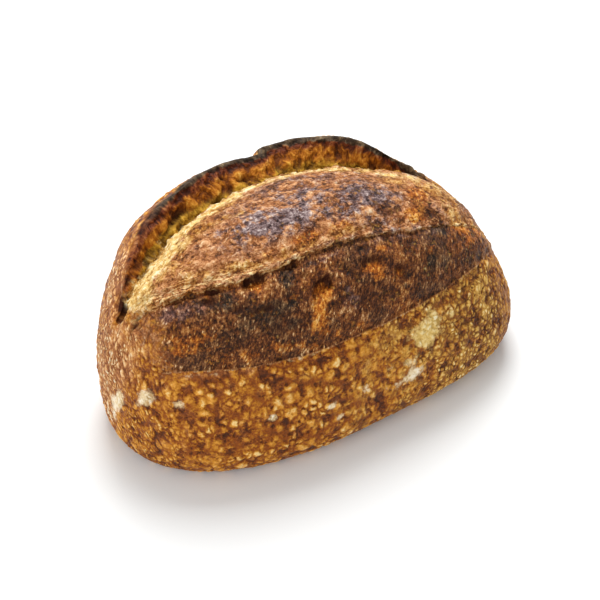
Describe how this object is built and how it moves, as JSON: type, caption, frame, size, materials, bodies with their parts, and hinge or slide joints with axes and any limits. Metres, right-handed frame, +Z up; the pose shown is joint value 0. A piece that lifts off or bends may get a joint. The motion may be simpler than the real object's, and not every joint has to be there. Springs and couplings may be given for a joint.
{
  "type": "sourdough loaf",
  "caption": "Long crusty sourdough loaf with a lengthwise score that opened into bulging bands and a standing ear of crust.",
  "frame": {"origin": "middle of the flat base, on the surface that the loaf rests on", "axes": "+X along the loaf, +Z up, -Y towards the side where the score opened, with the ear on the +Y side"},
  "size_m": [0.25, 0.1524, 0.1234],
  "materials": {
    "crust": "baked crust, dry and slightly satin: amber pebbled skin dusted with flour, dark brown opened bands, charred ear edge"
  },
  "bodies": {
    "root": {"loaf": "crust"}
  },
  "joints": []
}
